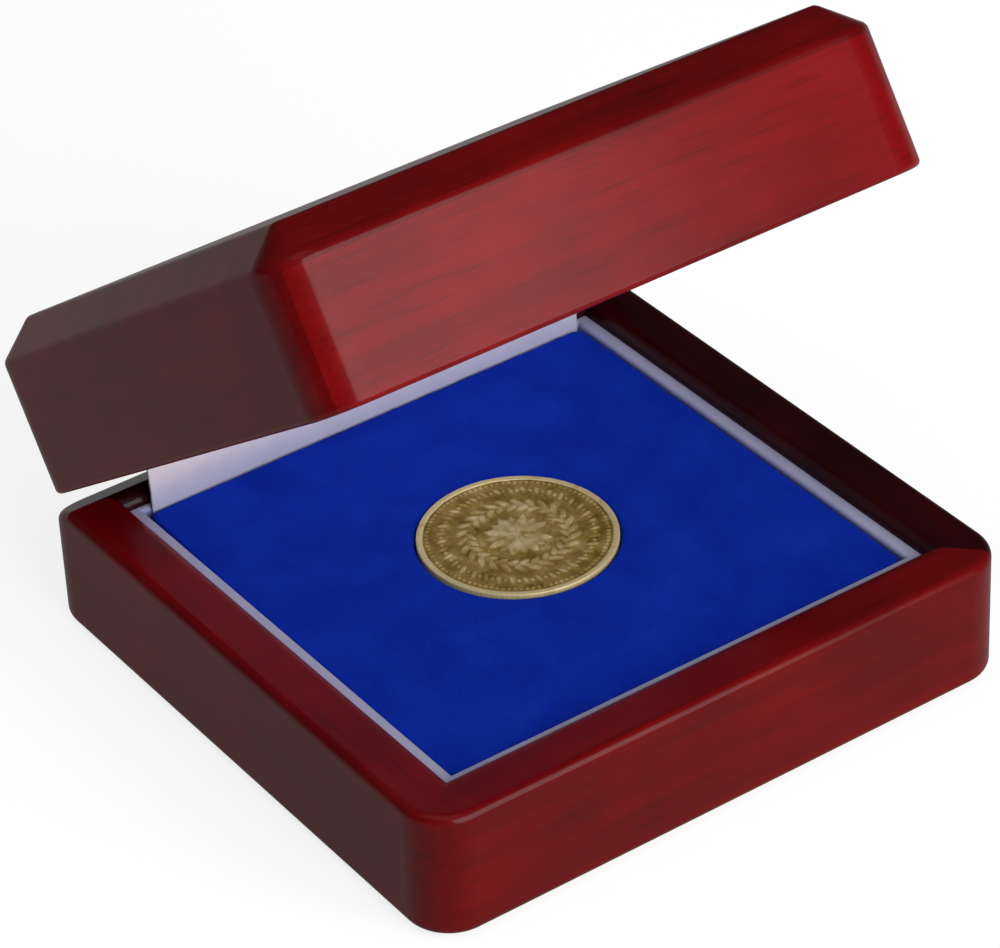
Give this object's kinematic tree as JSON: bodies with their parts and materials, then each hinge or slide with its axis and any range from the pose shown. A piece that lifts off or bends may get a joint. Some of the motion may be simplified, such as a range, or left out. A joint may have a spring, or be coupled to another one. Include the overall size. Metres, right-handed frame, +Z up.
{
  "type": "coin display case",
  "caption": "Small square lacquered wooden presentation case with a bevelled hinged lid, white liner, blue velour insert and a coin in a round recess.",
  "frame": {"origin": "centre of the base's underside, on the ground", "axes": "+Z up, +X to the right along the front, +Y to the back where the hinges are; the lid stands open by 35.25 degrees at rest"},
  "size_m": [0.092, 0.1016, 0.0878],
  "materials": {
    "lacquered_wood": "dark red gloss lacquer over fine-grained wood",
    "plywood": "bare thin board",
    "felt": "dark felt",
    "white_leatherette": "white fine-grained leatherette over card",
    "insert_core": "plain filler block",
    "card": "grey card",
    "blue_velour": "royal blue short pile velour",
    "coin_metal": "worn gold coloured metal, satin",
    "white_satin": "white satin",
    "lining_cloth": "white woven cloth",
    "hinge_brass": "plain rolled brass",
    "screw_brass": "plain brass"
  },
  "bodies": {
    "base": {"base_back_liner": "white_leatherette", "base_back_rail": "lacquered_wood", "base_bottom_panel": "plywood", "base_front_liner": "white_leatherette", "base_front_rail": "lacquered_wood", "base_hinge_screws": "screw_brass", "base_left_liner": "white_leatherette", "base_left_rail": "lacquered_wood", "base_right_liner": "white_leatherette", "base_right_rail": "lacquered_wood", "hinge_lining": "lining_cloth", "insert_block": "insert_core", "left_hinge_base_leaf": "hinge_brass", "left_hinge_pin": "hinge_brass", "pad_board": "card", "right_hinge_base_leaf": "hinge_brass", "right_hinge_pin": "hinge_brass", "underside_felt": "felt", "velour_pad": "blue_velour"},
    "lid": {"left_hinge_lid_leaf": "hinge_brass", "lid_back_liner": "white_leatherette", "lid_back_rail": "lacquered_wood", "lid_cushion_board": "card", "lid_front_liner": "white_leatherette", "lid_front_rail": "lacquered_wood", "lid_hinge_screws": "screw_brass", "lid_left_liner": "white_leatherette", "lid_left_rail": "lacquered_wood", "lid_right_liner": "white_leatherette", "lid_right_rail": "lacquered_wood", "lid_satin_cushion": "white_satin", "lid_top_panel": "lacquered_wood", "right_hinge_lid_leaf": "hinge_brass"},
    "coin": {"coin": "coin_metal"}
  },
  "joints": [
    {"name": "lid_hinge", "type": "hinge", "parent": "base", "child": "lid", "pos_m": [0, 0.04385, 0.02095], "axis": [-1, 0, 0], "range_deg": [-35.25, 59.75], "deforming": ["hinge_lining"]},
    {"name": "coin_lift", "type": "slide", "parent": "base", "child": "coin", "axis": [0, 0, 1], "range_m": [0, 0.012]}
  ]
}
